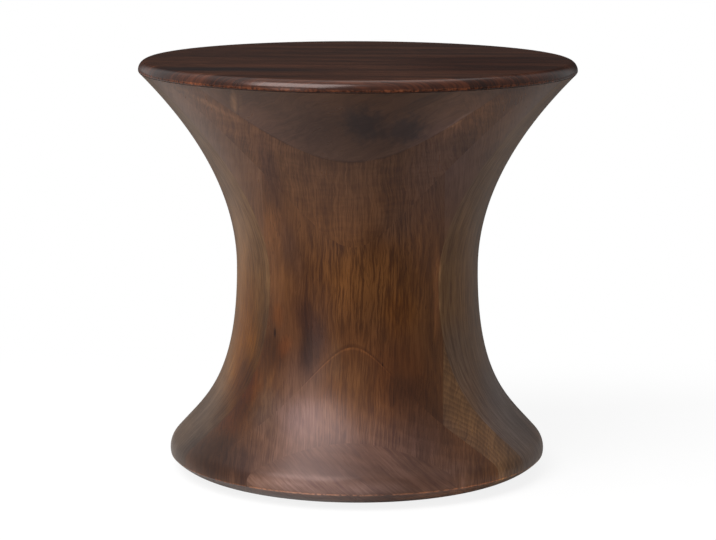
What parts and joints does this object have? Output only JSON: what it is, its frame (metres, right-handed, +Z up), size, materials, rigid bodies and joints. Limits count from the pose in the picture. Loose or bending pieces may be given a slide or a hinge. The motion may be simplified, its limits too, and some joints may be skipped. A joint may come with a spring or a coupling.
{
  "type": "round wooden stool",
  "caption": "Round hourglass stool, turned from planks glued face to face, with a thin seat of edge-glued boards; a seat or a low side table.",
  "frame": {"origin": "on the floor, at the turned body's axis", "axes": "+Z up along the turned body's axis; the planks are stacked along Y, and -Y is the side the picture shows"},
  "size_m": [0.482, 0.482, 0.457],
  "materials": {
    "plank_wood": "satin dark brown stain over vertical grain",
    "corner_wood": "satin dark brown stain over paler wood",
    "seat_wood": "satin deep red-brown stain",
    "dowel_wood": "bare, fluted hardwood dowel",
    "pad_felt": "dense dark felt"
  },
  "bodies": {
    "root": {"corner_block_back_3_lower_left": "corner_wood", "corner_block_back_3_lower_right": "corner_wood", "corner_block_back_3_upper_left": "corner_wood", "corner_block_back_3_upper_right": "corner_wood", "corner_block_front_3_lower_left": "corner_wood", "corner_block_front_3_lower_right": "corner_wood", "corner_block_front_3_upper_left": "corner_wood", "corner_block_front_3_upper_right": "corner_wood", "flare_block_back_4_lower": "plank_wood", "flare_block_back_4_upper": "plank_wood", "flare_block_back_5_lower": "plank_wood", "flare_block_back_5_upper": "plank_wood", "flare_block_front_4_lower": "plank_wood", "flare_block_front_4_upper": "plank_wood", "flare_block_front_5_lower": "plank_wood", "flare_block_front_5_upper": "plank_wood", "foot_pad_1": "pad_felt", "foot_pad_2": "pad_felt", "foot_pad_3": "pad_felt", "foot_pad_4": "pad_felt", "plank_back_1_left": "plank_wood", "plank_back_1_right": "plank_wood", "plank_back_2_centre": "plank_wood", "plank_back_2_left": "plank_wood", "plank_back_2_right": "plank_wood", "plank_back_3_centre": "plank_wood", "plank_core_left": "plank_wood", "plank_core_right": "plank_wood", "plank_front_1_left": "plank_wood", "plank_front_1_right": "plank_wood", "plank_front_2_centre": "plank_wood", "plank_front_2_left": "plank_wood", "plank_front_2_right": "plank_wood", "plank_front_3_centre": "plank_wood", "rim_corner_back_5_left": "corner_wood", "rim_corner_back_5_right": "corner_wood", "rim_corner_front_5_left": "corner_wood", "rim_corner_front_5_right": "corner_wood", "seat_board_1": "seat_wood", "seat_board_2": "seat_wood", "seat_board_3": "seat_wood", "seat_board_4": "seat_wood", "seat_board_5": "seat_wood", "seat_dowel_1": "dowel_wood", "seat_dowel_2": "dowel_wood", "seat_dowel_3": "dowel_wood", "seat_dowel_4": "dowel_wood", "seat_dowel_5": "dowel_wood", "seat_dowel_6": "dowel_wood"}
  },
  "joints": []
}
